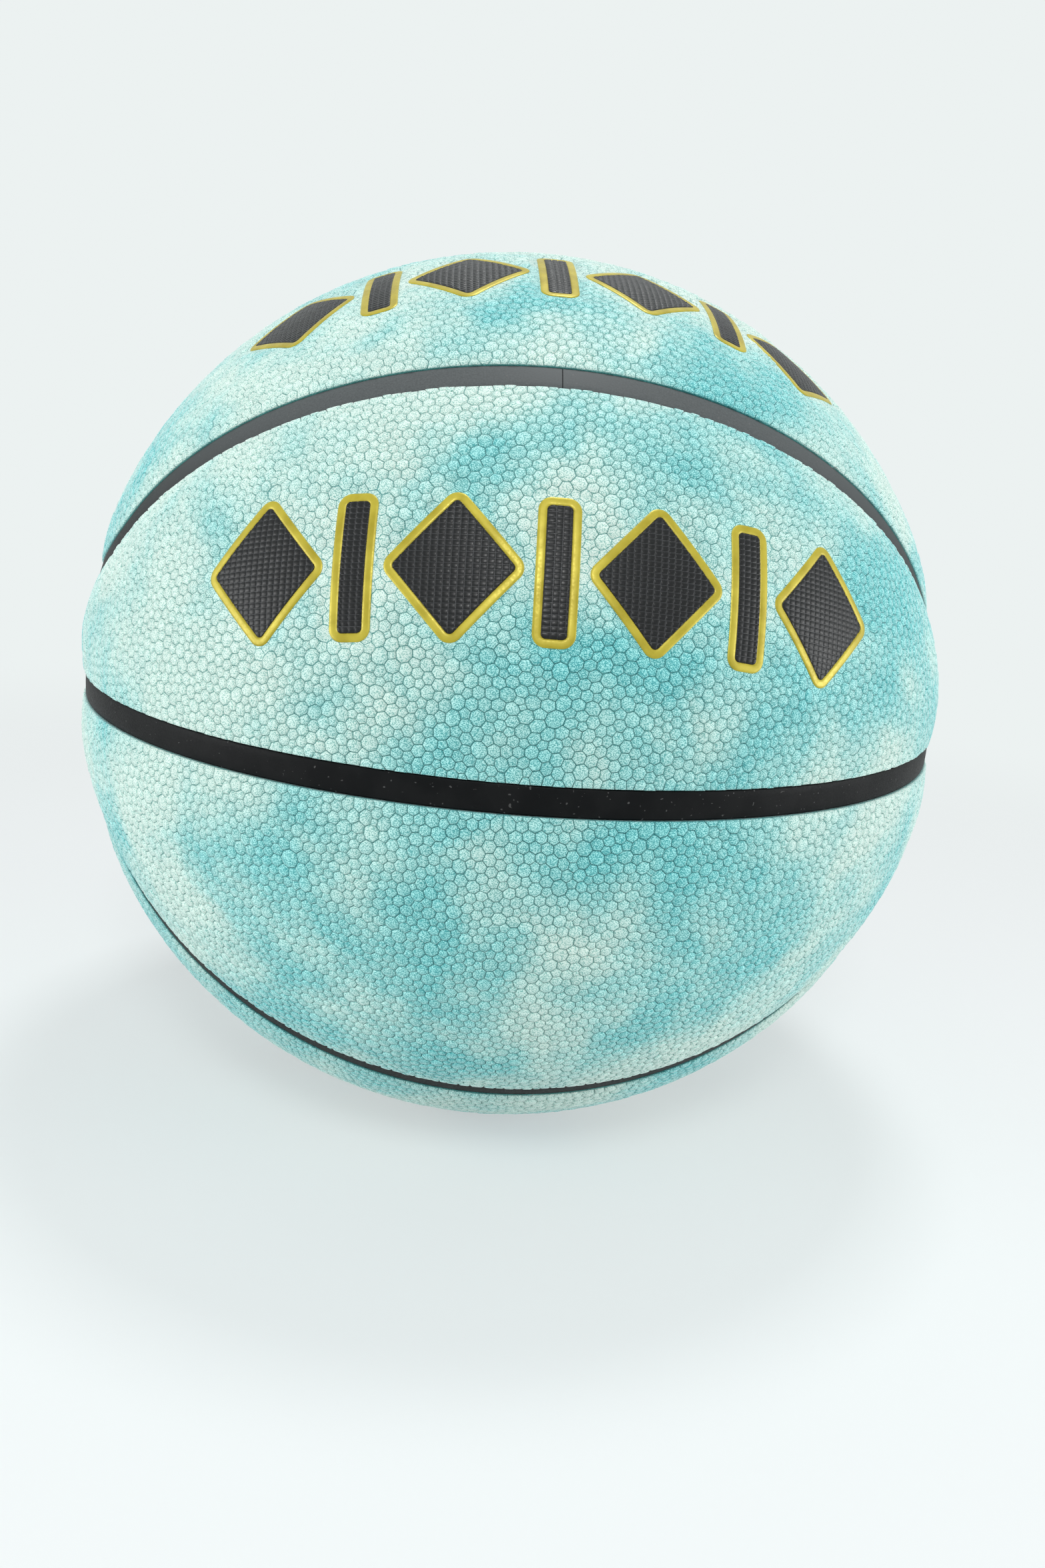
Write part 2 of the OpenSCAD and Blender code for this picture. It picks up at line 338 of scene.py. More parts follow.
def panel_distance(points, polar, upper, front):
    """Distance of points in one panel from its nearest wall, negative outside it."""
    outward = unit(points)
    rise = np.arcsin(np.clip(outward[:, 2], -1, 1)) * (BALL_R if upper else -BALL_R)
    ahead = np.arcsin(np.clip(outward[:, 1], -1, 1)) * (-BALL_R if front else BALL_R)
    oval = seam_distances(points)[2] * (-1 if polar else 1)
    return np.minimum(np.minimum(rise, ahead), oval) - CHANNEL_HALF


def crown_radius(points):
    """Radius of the cover's crown, which rolls down towards the channel walls."""
    short = 1 - np.clip(wall_distance(points) / EDGE_ROLL, 0, 1)
    return BALL_R - EDGE_DROP * short**2


def to_wall(points):
    """Slides points on the ball to the nearest channel wall."""
    for _ in range(SLIDE_STEPS):
        points = unit(points)
        east = unit(np.cross(points, SKEW_WAY))
        north = np.cross(points, east)
        here = wall_distance(points)
        slope_e = (wall_distance(points + east * SLOPE_REACH / BALL_R) - here) / SLOPE_REACH
        slope_n = (wall_distance(points + north * SLOPE_REACH / BALL_R) - here) / SLOPE_REACH
        steep = np.maximum(slope_e**2 + slope_n**2, LEAST_STEEP)
        shift = (east * slope_e[:, None] + north * slope_n[:, None]) / steep[:, None]
        points = unit(points - shift * here[:, None] / BALL_R)
    return points * BALL_R


# Geometry Nodes trees


def new_tree(name, inputs):
    """Tree with a geometry input, named inputs and a geometry output."""
    tree = bpy.data.node_groups.new(name, "GeometryNodeTree")
    tree.interface.new_socket("Geometry", in_out="INPUT", socket_type="NodeSocketGeometry")
    for label, kind in inputs.items():
        tree.interface.new_socket(label, in_out="INPUT", socket_type=kind)
    tree.interface.new_socket("Geometry", in_out="OUTPUT", socket_type="NodeSocketGeometry")
    return tree, tree.nodes.new("NodeGroupInput").outputs


def close_tree(tree, geometry, material):
    """Ends a tree with real geometry in one material."""
    real = add(tree, "GeometryNodeRealizeInstances", {"Geometry": geometry})
    painted = add(tree, "GeometryNodeSetMaterial", {"Geometry": real.outputs[0], "Material": material})
    add(tree, "NodeGroupOutput", {"Geometry": painted.outputs[0]})
    return tree


def run_tree(piece, tree, values):
    """Runs a tree on a piece and keeps the result as a plain mesh."""
    modifier = piece.modifiers.new(tree.name, "NODES")
    modifier.node_group = tree
    for item in tree.interface.items_tree:
        if item.in_out == "INPUT" and item.name in values:
            modifier[item.identifier] = values[item.name]
    graph = bpy.context.evaluated_depsgraph_get()
    made = bpy.data.meshes.new_from_object(
        piece.evaluated_get(graph), preserve_all_data_layers=True, depsgraph=graph
    )
    piece.modifiers.remove(modifier)
    old = piece.data
    piece.data = made
    made.name = piece.name
    bpy.data.meshes.remove(old)
    return piece


def on_ball(tree, geometry, radius):
    """Moves points straight out to the given radius."""
    place = add(tree, "GeometryNodeInputPosition").outputs[0]
    outward = vector_node(tree, "NORMALIZE", {0: place})
    moved = vector_node(tree, "SCALE", {0: outward, "Scale": radius})
    return add(tree, "GeometryNodeSetPosition", {"Geometry": geometry, "Position": moved}).outputs[0]


def pebble_seed_tree():
    """Points scattered over a ball, which push each other apart until they are evenly spaced."""
    tree, given = new_tree("pebble_seeds", {
        "Ball Radius": "NodeSocketFloat", "Least Gap": "NodeSocketFloat", "Even Gap": "NodeSocketFloat",
        "Crowding": "NodeSocketFloat", "Push Steps": "NodeSocketInt", "Seed": "NodeSocketInt",
        "Material": "NodeSocketMaterial",
    })
    radius = given["Ball Radius"]
    blank = add(tree, "GeometryNodeMeshIcoSphere", {"Radius": radius, "Subdivisions": BLANK_SUBDIVISIONS})
    gap_area = math_node(tree, "MULTIPLY", given["Least Gap"], given["Least Gap"])
    scatter = add(tree, "GeometryNodeDistributePointsOnFaces", {
        "Mesh": blank.outputs["Mesh"], "Distance Min": given["Least Gap"],
        "Density Max": math_node(tree, "DIVIDE", given["Crowding"], gap_area), "Seed": given["Seed"],
    }, distribute_method="POISSON")
    again = tree.nodes.new("GeometryNodeRepeatInput")
    done = tree.nodes.new("GeometryNodeRepeatOutput")
    again.pair_with_output(done)
    tree.links.new(given["Push Steps"], again.inputs["Iterations"])
    tree.links.new(on_ball(tree, scatter.outputs["Points"], radius), again.inputs["Geometry"])
    place = add(tree, "GeometryNodeInputPosition").outputs[0]
    nearest = add(tree, "GeometryNodeIndexOfNearest", {"Position": place}).outputs["Index"]
    neighbour = add(tree, "GeometryNodeFieldAtIndex", {"Index": nearest, "Value": place},
                    data_type="FLOAT_VECTOR").outputs[0]
    apart = vector_node(tree, "SUBTRACT", {0: place, 1: neighbour})
    short = math_node(tree, "SUBTRACT", given["Even Gap"], length_of(tree, apart))
    reach = math_node(tree, "MULTIPLY", math_node(tree, "MAXIMUM", short, 0.0), PUSH_SHARE)
    push = vector_node(tree, "SCALE", {0: vector_node(tree, "NORMALIZE", {0: apart}), "Scale": reach})
    moved = add(tree, "GeometryNodeSetPosition", {
        "Geometry": again.outputs["Geometry"], "Offset": push,
    }).outputs[0]
    tree.links.new(on_ball(tree, moved, radius), done.inputs["Geometry"])
    seeds = add(tree, "GeometryNodePointsToVertices", {"Points": done.outputs["Geometry"]}).outputs[0]
    return close_tree(tree, seeds, given["Material"])


def pebble_cell_tree():
    """Cells round the points of a net of triangles on the ball."""
    tree, given = new_tree("pebble_cells", {
        "Ball Radius": "NodeSocketFloat", "Material": "NodeSocketMaterial",
    })
    cells = add(tree, "GeometryNodeDualMesh", {"Mesh": given["Geometry"]}).outputs[0]
    return close_tree(tree, on_ball(tree, cells, given["Ball Radius"]), given["Material"])


def pressed_sheet_tree():
    """Closed sheet on the ball whose cells stand up from the grooves, each with a shoulder and a crown."""
    tree, given = new_tree("pressed_sheet", {
        "Thickness": "NodeSocketFloat", "Relief": "NodeSocketFloat", "Relief Spread": "NodeSocketFloat",
        "Shoulder Height": "NodeSocketFloat", "Shoulder Inset": "NodeSocketFloat",
        "Crown Inset": "NodeSocketFloat", "Seed": "NodeSocketInt", "Material": "NodeSocketMaterial",
    })
    place = add(tree, "GeometryNodeInputPosition").outputs[0]
    outward = vector_node(tree, "NORMALIZE", {0: place})
    tone = add(tree, "FunctionNodeRandomValue", {"Seed": given["Seed"]}, data_type="FLOAT").outputs[1]
    sheet = add(tree, "GeometryNodeStoreNamedAttribute", {
        "Geometry": given["Geometry"], "Name": "tone", "Value": tone,
    }, data_type="FLOAT", domain="FACE").outputs[0]
    kept_tone = add(tree, "GeometryNodeInputNamedAttribute", {"Name": "tone"}, data_type="FLOAT").outputs[0]
    off_middle = math_node(tree, "SUBTRACT", kept_tone, 0.5)
    uneven = math_node(tree, "MULTIPLY_ADD", off_middle, given["Relief Spread"], 1.0)
    relief = math_node(tree, "MULTIPLY", uneven, given["Relief"])
    low_part = math_node(tree, "MULTIPLY", relief, given["Shoulder Height"])
    high_part = math_node(tree, "SUBTRACT", relief, low_part)

    def raise_cells(geometry, selection, height, inset, level):
        """Lifts and narrows the cells, and notes the level that their tops reach."""
        lifted = add(tree, "GeometryNodeExtrudeMesh", {
            "Mesh": geometry, "Selection": selection, "Offset": outward, "Offset Scale": height,
            "Individual": True,
        }, mode="FACES")
        top = lifted.outputs["Top"]
        narrowed = add(tree, "GeometryNodeScaleElements", {
            "Geometry": lifted.outputs["Mesh"], "Selection": top, "Scale": inset,
        }, domain="FACE").outputs[0]
        marked = add(tree, "GeometryNodeStoreNamedAttribute", {
            "Geometry": narrowed, "Selection": top, "Name": "grain", "Value": level,
        }, data_type="FLOAT", domain="POINT").outputs[0]
        return marked, top

    shouldered, shoulder = raise_cells(
        sheet, True, low_part, given["Shoulder Inset"], given["Shoulder Height"]
    )
    crowned, _ = raise_cells(shouldered, shoulder, high_part, given["Crown Inset"], 1.0)
    neighbours = add(tree, "GeometryNodeInputMeshEdgeNeighbors").outputs[0]
    rim = add(tree, "FunctionNodeCompare", {2: neighbours, 3: 1},
              data_type="INT", operation="EQUAL").outputs[0]
    hem = add(tree, "GeometryNodeExtrudeMesh", {
        "Mesh": crowned, "Selection": rim, "Offset Scale": 0.0,
    }, mode="EDGES")
    down = math_node(tree, "MULTIPLY", given["Thickness"], -1)
    sunk = vector_node(tree, "SCALE", {0: outward, "Scale": down})
    skirt = add(tree, "GeometryNodeSetPosition", {
        "Geometry": hem.outputs["Mesh"], "Selection": hem.outputs["Top"], "Offset": sunk,
    }).outputs[0]
    under = add(tree, "GeometryNodeSetPosition", {"Geometry": sheet, "Offset": sunk}).outputs[0]
    under = add(tree, "GeometryNodeFlipFaces", {"Mesh": under}).outputs[0]
    joined = add(tree, "GeometryNodeJoinGeometry")
    tree.links.new(skirt, joined.inputs[0])
    tree.links.new(under, joined.inputs[0])
    welded = add(tree, "GeometryNodeMergeByDistance", {"Geometry": joined.outputs[0], "Distance": WELD_GAP})
    return close_tree(tree, welded.outputs[0], given["Material"])


def shape_sheet(mesh, thickness, level, relief_share, under):
    """Brings a pressed sheet to its level on the ball; its underside goes to another radius."""
    points = points_of(mesh)
    radii = np.linalg.norm(points, axis=1)
    sunk = np.clip((BALL_R - radii) / thickness, 0, 1)
    top = level + np.maximum(radii - BALL_R, 0) * relief_share
    final = top * (1 - sunk) + under * sunk
    mesh.vertices.foreach_set("co", (unit(points) * final[:, None]).ravel())
    mesh.shade_smooth()
    mesh.update()


# Stamps


def stamp_shapes():
    """The corners of each shape in a band: lozenges in a row, with a bar between each two."""
    lozenges = [LOZENGE + [(i - (LOZENGES - 1) / 2) * LOZENGE_PITCH, 0] for i in range(LOZENGES)]
    bars = [BAR + [(i - (LOZENGES - 2) / 2) * LOZENGE_PITCH, 0] for i in range(LOZENGES - 1)]
    return lozenges + bars


def stamp_axes(height):
    """Outward, sideways and upward axes at the middle of a band."""
    out = np.array([0, -math.cos(height), math.sin(height)])
    return out, X_WAY, np.cross(out, X_WAY)


def wrap(places, height):
    """Directions on the ball of places in a band: along its middle line and up from it."""
    out, east, north = stamp_axes(height)
    along, rise = (places / BALL_R).T[:, :, None]
    return np.cos(rise) * (np.cos(along) * out + np.sin(along) * east) + np.sin(rise) * north


def unwrap(points, height):
    """Places in a band of points on the ball; those on the far side lie beyond its ends."""
    out, east, north = stamp_axes(height)
    outward = unit(points)
    along = np.arctan2(outward @ east, outward @ out)
    rise = np.arcsin(np.clip(outward @ north, -1, 1))
    return np.stack([along, rise], axis=1) * BALL_R


def shape_distance(places, corners):
    """Distance of places from the sides of a shape, negative inside it."""
    ways = unit(np.roll(corners, -1, axis=0) - corners)
    outward = np.stack([ways[:, 1], -ways[:, 0]], axis=1)
    return np.max(places @ outward.T - np.sum(corners * outward, axis=1), axis=1)


def pressed_share(points, panel):
    """How far the stamps on a panel press its points flat, from 0 to 1."""
    share = np.zeros(len(points))
    for host, height in STAMPS.values():
        if host == panel:
            places = unwrap(points, height)
            for shape in stamp_shapes():
                outside = shape_distance(places, shape) - BORDER_OUT - PRESS_MARGIN
                share = np.maximum(share, 1 - smooth_step(outside / PRESS_REACH))
    return share


def pressed_level(points):
    """Radius of the leather that is pressed flat under a stamp."""
    return crown_radius(points) - PEBBLE_RELIEF - STAMP_DEPTH


def rounded_ring(corners, grow):
    """Outline of a shape grown by a radius, in short steps round its corners and along its sides."""
    ring = []
    for before, here, after in zip(np.roll(corners, 1, axis=0), corners, np.roll(corners, -1, axis=0)):
        start = math.atan2(before[0] - here[0], here[1] - before[1])
        stop = math.atan2(here[0] - after[0], after[1] - here[1])
        turn = np.linspace(start, start + (stop - start) % (2 * math.pi), CORNER_STEPS)
        round_corner = here + grow * np.stack([np.cos(turn), np.sin(turn)], axis=1)
        along = np.linspace(0, 1, SIDE_STEPS + 1)[1:-1, None]
        ring += [round_corner, round_corner[-1] + (after - here) * along]
    return np.concatenate(ring)


def stamp_border(name, height, material):
    """Smooth raised border round each shape of a band."""
    points, faces = [], []
    for corners in stamp_shapes():
        outer = rounded_ring(corners, BORDER_OUT)
        inner = rounded_ring(corners, BORDER_IN)
        rows = []
        for share, rise in BORDER_SECTION:
            outward = wrap(outer + (inner - outer) * share, height)
            rows.append(outward * (pressed_level(outward) + rise)[:, None])
        rows = np.stack(rows, axis=1)
        first = sum(map(len, points))
        faces += [[first + corner for corner in face] for face in tube_faces(*rows.shape[:2], True)]
        points.append(rows.reshape(-1, 3))
    piece = mesh_piece(name, np.concatenate(points), faces)
    turn_outwards(piece.data)
    piece.data.materials.append(material)
    return piece


def lattice_cells(corners):
    """Lattice of small oblongs that fills the inside of a shape's border.

    The result is places in the band and lists of place numbers. Blender cuts the outline in millimetres.
    """
    work = bmesh.new()
    outline = rounded_ring(corners, BORDER_IN) / MM
    work.faces.new([work.verts.new((along, rise, 0)) for along, rise in outline])
    for way, pitch in enumerate(LATTICE):
        step = pitch / MM
        normal = (1, 0, 0) if way == 0 else (0, 1, 0)
        low, high = outline[:, way].min(), outline[:, way].max()
        for number in range(math.ceil(low / step), math.floor(high / step) + 1):
            cut = Vector(normal) * (number + 0.5) * step
            bmesh.ops.bisect_plane(work, geom=work.verts[:] + work.edges[:] + work.faces[:],
                                   dist=LATTICE_SNAP / MM, plane_co=cut, plane_no=normal)
    work.verts.index_update()
    places = np.array([vert.co[:2] for vert in work.verts]) * MM
    cells = [[vert.index for vert in face.verts] for face in work.faces]
    work.free()
    return places, cells


def stamp_fill(name, height, tree, material):
    """Waffled inlay inside each border of a band."""
    points, cells = [], []
    for corners in stamp_shapes():
        places, found = lattice_cells(corners)
        first = sum(map(len, points))
        cells += [[first + corner for corner in cell] for cell in found]
        points.append(wrap(places, height) * BALL_R)
    piece = mesh_piece(name, np.concatenate(points), cells)
    run_tree(piece, tree, {
        "Thickness": WAFFLE_T, "Relief": WAFFLE_RELIEF, "Relief Spread": WAFFLE_SPREAD,
        "Shoulder Height": WAFFLE_SHOULDER, "Shoulder Inset": WAFFLE_SHOULDER_INSET,
        "Crown Inset": WAFFLE_CROWN_INSET, "Seed": GRAIN_SEED, "Material": material,
    })
    level = pressed_level(points_of(piece.data)) + WAFFLE_LIFT
    shape_sheet(piece.data, WAFFLE_T, level, 1.0, level - WAFFLE_T)
    return piece


def stamps(tree, border_material, fill_material):
    """The two stamped bands."""
    for name, (_, height) in STAMPS.items():
        for piece in (stamp_border(name + "_border", height, border_material),
                      stamp_fill(name + "_waffle", height, tree, fill_material)):
            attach(piece, "root")


# Cover panels


def cell_lists(mesh):
    """The mesh's points, and each cell as an array of point numbers."""
    count = len(mesh.polygons)
    starts = np.zeros(count, int)
    totals = np.zeros(count, int)
    corners = np.zeros(len(mesh.loops), int)
    mesh.polygons.foreach_get("loop_start", starts)
    mesh.polygons.foreach_get("loop_total", totals)
    mesh.loops.foreach_get("vertex_index", corners)
    return points_of(mesh), [corners[s:s + n] for s, n in zip(starts, totals)]


def edges_of(cells):
    """Each cell's edges as pairs of point numbers, lower number first."""
    pairs = np.concatenate([np.stack([cell, np.roll(cell, -1)], axis=1) for cell in cells])
    return np.sort(pairs, axis=1)


def without_pinches(cells, depths):
    """Leaves out cells that hang on by one corner, so that the rim of the sheet is one clean loop."""
    cells = dict(enumerate(cells))
    while True:
        edges, uses = np.unique(edges_of(cells.values()), axis=0, return_counts=True)
        loose = np.flatnonzero(np.bincount(edges[uses == 1].ravel()) > 2)
        if not len(loose):
            return list(cells.values())
        hanging = [i for i, cell in cells.items() if np.isin(cell, loose).any()]
        del cells[min(hanging, key=lambda i: depths[i])]


def cross_wall_place(height):
    """Direction of the place at a height angle on the cross seam's front wall."""
    turn = CHANNEL_HALF / BALL_R
    return math.cos(turn) * math.cos(height), -math.sin(turn), math.cos(turn) * math.sin(height)


def panel_corners(polar, upper, front):
    """Directions of a panel's corners, where its walls on two seams meet."""
    heights = [] if polar else [math.asin(math.tan(CHANNEL_HALF / BALL_R))]
    low, high = 0.0, 2 * OVAL_END_EL
    wanted = -CHANNEL_HALF if polar else CHANNEL_HALF
    for _ in range(CORNER_HALVINGS):
        middle = (low + high) / 2
        if seam_distances(np.array([cross_wall_place(middle)]))[2][0] > wanted:
            low = middle
        else:
            high = middle
    heights.append(middle)
    signs = [1, 1 if front else -1, 1 if upper else -1]
    right = np.array([cross_wall_place(height) for height in heights]) * signs
    return np.concatenate([right, right * [-1, 1, 1]])


def fit_to_walls(points, cells, corners):
    """Cuts the sheet of cells at the channel walls and corners, and evens out the cells next to them."""
    edges, uses = np.unique(edges_of(cells), axis=0, return_counts=True)
    on_rim = np.zeros(len(points), bool)
    on_rim[edges[uses == 1].ravel()] = True
    points = points.copy()
    points[on_rim] = to_wall(points[on_rim])
    rim = np.flatnonzero(on_rim)
    for corner in corners:
        points[rim[np.argmax(points[rim] @ corner)]] = corner * BALL_R
    near = ~on_rim & (wall_distance(points) < RIM_WIDTH)
    for _ in range(RIM_EVEN_STEPS):
        total = np.zeros_like(points)
        count = np.zeros(len(points))
        for here, there in ((0, 1), (1, 0)):
            np.add.at(total, edges[:, here], points[edges[:, there]])
            np.add.at(count, edges[:, here], 1)
        even = (points + total / count[:, None]) / 2
        points[near] = unit(even[near]) * BALL_R
    return points


def triangle_net(points, middle, east, north):
    """Net of triangles between points on one side of the ball, as rows of point numbers."""
    flat = np.stack([points @ east, points @ north], axis=1) / (BALL_R + points @ middle)[:, None]
    found = delaunay_2d_cdt([Vector(place) for place in flat * FLAT_SCALE], [], [], 0, FLAT_WELD)
    order = np.array([own[0] for own in found[3]])
    return order[np.array(found[2])]


def even_out(points, net):
    """Moves each point to the middle of the triangles round it."""
    total = np.zeros_like(points)
    count = np.zeros(len(points))
    middles = points[net].mean(axis=1)
    for corner in net.T:
        np.add.at(total, corner, middles)
        np.add.at(count, corner, 1)
    return unit(total / np.maximum(count, 1)[:, None]) * BALL_R


def panel_cells(seeds, sides, tree, material):
    """Pebble cells of one panel, as points on the ball and lists of point numbers."""
    near = seeds[panel_distance(seeds, *sides) > -SEED_MARGIN]
    middle = unit(near.mean(axis=0))
    east = unit(np.cross(Z_WAY, middle))
    north = np.cross(middle, east)
    free = panel_distance(near, *sides) > PEBBLE_EVEN_GAP - SEED_MARGIN
    net = triangle_net(near, middle, east, north)
    for _ in range(EVEN_STEPS):
        near[free] = even_out(near, net)[free]
        net = triangle_net(near, middle, east, north)
    net_piece = mesh_piece("pebble_net", near, net)
    run_tree(net_piece, tree, {"Ball Radius": BALL_R, "Material": material})
    points, cells = cell_lists(net_piece.data)
    bpy.data.objects.remove(net_piece)
    middles = np.array([points[cell].mean(axis=0) for cell in cells])
    depths = panel_distance(middles, *sides)
    inside = np.flatnonzero(depths > -RIM_OVERHANG)
    picked = without_pinches([cells[i] for i in inside], depths[inside])
    used, numbers = np.unique(np.concatenate(picked), return_inverse=True)
    ends = np.cumsum([len(cell) for cell in picked])
    picked = np.split(numbers, ends[:-1])
    return fit_to_walls(points[used], picked, panel_corners(*sides)), picked


def pebble_seeds(material):
    """The middles of the pebbles, all over the ball."""
    scatter = run_tree(mesh_piece("pebble_seeds", [], []), pebble_seed_tree(), {
        "Ball Radius": BALL_R, "Least Gap": PEBBLE_GAP, "Even Gap": PEBBLE_EVEN_GAP,
        "Crowding": PEBBLE_CROWDING, "Push Steps": PUSH_STEPS, "Seed": GRAIN_SEED, "Material": material,
    })
    seeds = points_of(scatter.data)
    bpy.data.objects.remove(scatter)
    return seeds


def cover_panels(tree, material):
    """The eight panels, each a closed sheet of pebbles that are pressed flat under the stamps."""
    seeds = pebble_seeds(material)
    cell_tree = pebble_cell_tree()
    for name, sides in PANELS.items():
        piece = mesh_piece(name + "_cover", *panel_cells(seeds, sides, cell_tree, material))
        run_tree(piece, tree, {
            "Thickness": COVER_T, "Relief": PEBBLE_RELIEF, "Relief Spread": PEBBLE_SPREAD,
            "Shoulder Height": PEBBLE_SHOULDER, "Shoulder Inset": PEBBLE_SHOULDER_INSET,
            "Crown Inset": PEBBLE_CROWN_INSET, "Seed": GRAIN_SEED, "Material": material,
        })
        places = points_of(piece.data)
        flat = pressed_share(places, name)
        level = crown_radius(places) - PEBBLE_RELIEF - STAMP_DEPTH * flat
        shape_sheet(piece.data, COVER_T, level, 1 - PRESS_SHARE * flat, COVER_IN_R)
        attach(piece, "root")
        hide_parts(name)


# Seam strips


def arc_path(axis, out, along, opening, start, stop):
    """Middles and outward sides of a strip along an arc about an axis."""
    count = max(LEAST_STEPS, int(abs(stop - start) * math.sin(opening) * BALL_R / STRIP_STEP))
    turn = np.linspace(start, stop, count)[:, None]
    spoke = out * np.cos(turn) + along * np.sin(turn)
    middles = axis * math.cos(opening) + spoke * math.sin(opening)
    sides = spoke * math.cos(opening) - axis * math.sin(opening)
    return middles, sides


def oval_path():
    """The top oval, from one side of its butt joint at the front round to the other."""
    wide_out = np.array([0, -math.cos(WIDE_TILT), math.sin(WIDE_TILT)])
    end_out = np.array([math.cos(OVAL_END_TILT), 0, -math.sin(OVAL_END_TILT)])
    gap = JOINT_GAP / 2 / BALL_R
    first = arc_path(WIDE_AXIS, wide_out, X_WAY, WIDE_ARC, gap, WIDE_SWEEP)
    end = arc_path(END_AXIS, end_out, Y_WAY, END_ARC, -END_SWEEP, END_SWEEP)
    back = arc_path(WIDE_AXIS, wide_out, X_WAY, WIDE_ARC, WIDE_SWEEP, -WIDE_SWEEP)
    flip_x = np.array([-1.0, 1, 1])
    flip_y = np.array([1.0, -1, 1])
    spans = [first, end, [part * flip_y for part in back],
             [part[::-1] * flip_x for part in end], [part[::-1] * flip_x for part in first]]
    middles = np.concatenate([spans[0][0]] + [span[0][1:] for span in spans[1:]])
    sides = np.concatenate([spans[0][1]] + [span[1][1:] for span in spans[1:]])
    return middles, sides


def ring_path():
    """The equator, all the way round."""
    middles, sides = arc_path(Z_WAY, X_WAY, Y_WAY, math.pi / 2, 0, 2 * math.pi)
    return middles[:-1], sides[:-1]


def cross_path(low, high):
    """The cross seam between two height angles, from the +X side."""
    return arc_path(-Y_WAY, X_WAY, Z_WAY, math.pi / 2, low, high)


def ribbon(name, path, flip, closed=False):
    """Rubber strip with a crowned face and rounded edges along a path, mirrored by the signs in flip."""
    middles, sides = path
    section = np.concatenate([STRIP_HALF_SECTION[:0:-1] * [-1, 1], STRIP_HALF_SECTION])
    turn = section[:, 0] / BALL_R
    rows = middles[:, None] * np.cos(turn)[None, :, None] + sides[:, None] * np.sin(turn)[None, :, None]
    rows = rows * (COVER_IN_R + section[:, 1])[None, :, None] * flip
    piece = mesh_piece(name, rows.reshape(-1, 3), tube_faces(*rows.shape[:2], closed))
    turn_outwards(piece.data)
    return piece


def drill_valve_hole(piece):
    """Cuts the hole for the valve's nose through the lower cross strip."""
    bpy.ops.mesh.primitive_cylinder_add(
        vertices=DRILL_SIDES, radius=VALVE_HOLE_R, depth=DRILL_DEPTH, location=(0, 0, -BALL_R)
    )
    drill = bpy.context.object
    cut = piece.modifiers.new("valve_hole", "BOOLEAN")
    cut.object = drill
    cut.operation = "DIFFERENCE"
    graph = bpy.context.evaluated_depsgraph_get()
    made = bpy.data.meshes.new_from_object(piece.evaluated_get(graph), depsgraph=graph)
    piece.modifiers.remove(cut)
    piece.data = made
    bpy.data.objects.remove(drill)


def seam_strips(material):
    """All the strips between the panels."""
    clear = (CHANNEL_HALF + JOINT_GAP) / BALL_R
    link_low = math.asin((STRIP_HALF + JOINT_GAP) / COVER_IN_R)
    span = cross_path(OVAL_END_EL + clear, math.pi - OVAL_END_EL - clear)
    link = cross_path(link_low, OVAL_END_EL - clear)
    strips = {
        "equator_strip": ribbon("equator_rubber", ring_path(), (1, 1, 1), closed=True),
        "top_oval_strip": ribbon("top_oval_rubber", oval_path(), (1, 1, 1)),
        "bottom_oval_strip": ribbon("bottom_oval_rubber", oval_path(), (1, -1, -1)),
        "top_cross_strip": ribbon("top_cross_rubber", span, (1, 1, 1)),
        "bottom_cross_strip": ribbon("bottom_cross_rubber", span, (1, 1, -1)),
        "link_strip_upper_right": ribbon("link_rubber_upper_right", link, (1, 1, 1)),
        "link_strip_upper_left": ribbon("link_rubber_upper_left", link, (-1, 1, 1)),
        "link_strip_lower_right": ribbon("link_rubber_lower_right", link, (1, 1, -1)),
        "link_strip_lower_left": ribbon("link_rubber_lower_left", link, (-1, 1, -1)),
    }
    drill_valve_hole(strips["bottom_cross_strip"])
    for node, piece in strips.items():
        piece.data.materials.clear()
        piece.data.materials.append(material)
        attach(piece, "root")
        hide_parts(node)


# Materials


def new_material(name):
    """Material with its node tree and its main shader."""
    material = bpy.data.materials.new(name)
    material.use_nodes = True
    return material, material.node_tree, material.node_tree.nodes["Principled BSDF"]


def own_place(tree):
    """Places in the piece's own coordinates."""
    return add(tree, "ShaderNodeTexCoord").outputs["Object"]


def noise(tree, scale, detail=2.0, roughness=0.5, vector=None):
    """Noise on the piece's own coordinates, or on others; returns its value."""
    return add(tree, "ShaderNodeTexNoise", {
        "Vector": vector or own_place(tree), "Scale": scale, "Detail": detail, "Roughness": roughness,
    }).outputs["Fac"]


def spread(tree, value, low, high, to_low=0.0, to_high=1.0):
    """Eases a value from one range to another."""
    return add(tree, "ShaderNodeMapRange", {
        "Value": value, "From Min": low, "From Max": high, "To Min": to_low, "To Max": to_high,
    }, interpolation_type="SMOOTHSTEP").outputs[0]


def blend_colour(tree, share, one, other, mode="MIX"):
    """Mixes two colours."""
    mixed = add(tree, "ShaderNodeMix", {0: share, 6: one, 7: other}, data_type="RGBA", blend_type=mode)
    return mixed.outputs[2]


def own_value(tree, name):
    """Value that the piece's mesh carries under a name."""
    return add(tree, "ShaderNodeAttribute", attribute_name=name).outputs["Fac"]


def bump(tree, shader, height, strength, depth):
    """Fine relief on a shader."""
    node = add(tree, "ShaderNodeBump", {"Height": height, "Strength": strength, "Distance": depth})
    tree.links.new(node.outputs[0], shader.inputs["Normal"])


